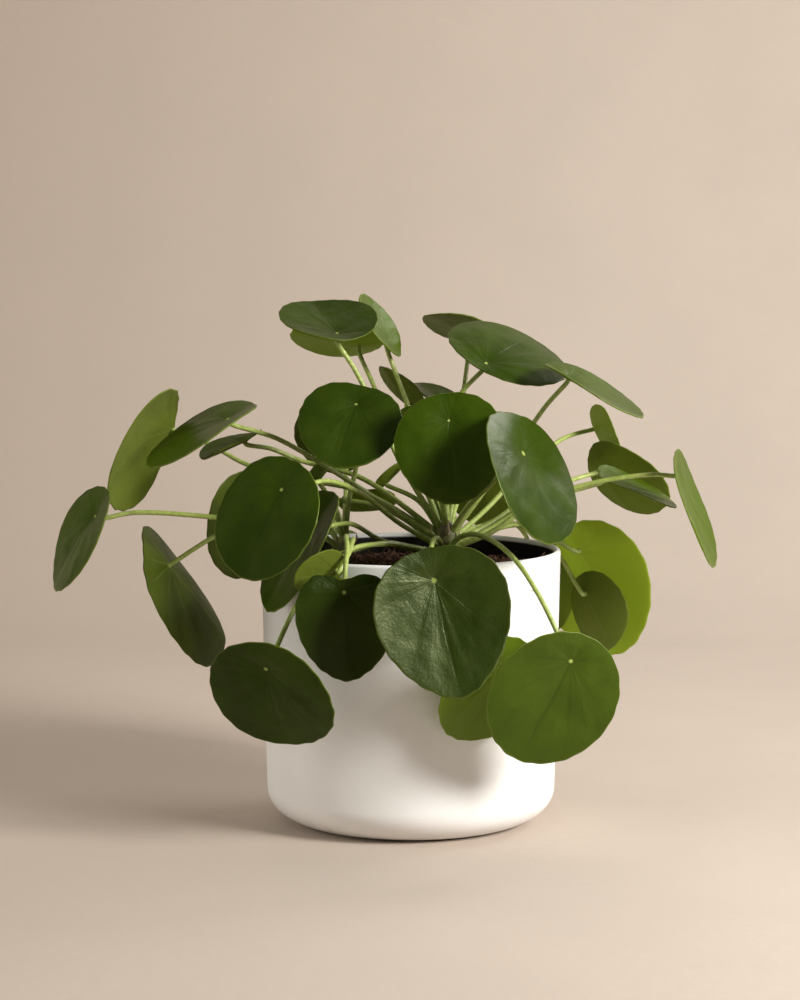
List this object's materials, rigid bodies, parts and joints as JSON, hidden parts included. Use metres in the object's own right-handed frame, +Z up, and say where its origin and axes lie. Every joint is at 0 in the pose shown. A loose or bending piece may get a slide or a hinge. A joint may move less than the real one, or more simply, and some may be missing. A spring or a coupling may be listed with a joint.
{
  "type": "potted plant",
  "caption": "Potted pilea house plant: round peltate leaves on long curved stalks, growing from two stems in soil in a plain round ceramic pot.",
  "frame": {"origin": "centre of the pot's base, on the ground", "axes": "+Z up; -Y is the front, the side that the picture shows; +X is the picture's right"},
  "size_m": [0.3115, 0.2233, 0.2466],
  "materials": {
    "pot": "satin",
    "soil": "matte",
    "stem": "satin",
    "leaf": "satin"
  },
  "bodies": {
    "root": {"pot": "pot", "soil": "soil", "leaf_01": "leaf", "leaf_02": "leaf", "leaf_03": "leaf", "leaf_04": "leaf", "leaf_05": "leaf", "leaf_06": "leaf", "leaf_07": "leaf", "leaf_08": "leaf", "leaf_09": "leaf", "leaf_10": "leaf", "leaf_11": "leaf", "leaf_12": "leaf", "leaf_13": "leaf", "leaf_14": "leaf", "leaf_15": "leaf", "leaf_16": "leaf", "leaf_17": "leaf", "leaf_18": "leaf", "leaf_19": "leaf", "leaf_20": "leaf", "leaf_21": "leaf", "leaf_22": "leaf", "leaf_23": "leaf", "leaf_24": "leaf", "leaf_25": "leaf", "leaf_26": "leaf", "leaf_27": "leaf", "leaf_28": "leaf", "leaf_29": "leaf", "leaf_30": "leaf", "leaf_31": "leaf", "leaf_32": "leaf", "leaf_33": "leaf", "leaf_34": "leaf", "leaf_35": "leaf", "leaf_36": "leaf", "leaf_37": "leaf", "leaf_38": "leaf", "leaf_39": "leaf", "leaf_40": "leaf", "leaf_41": "leaf", "leaf_42": "leaf", "leaf_43": "leaf", "main_stem": "stem", "side_stem": "stem"}
  },
  "joints": []
}
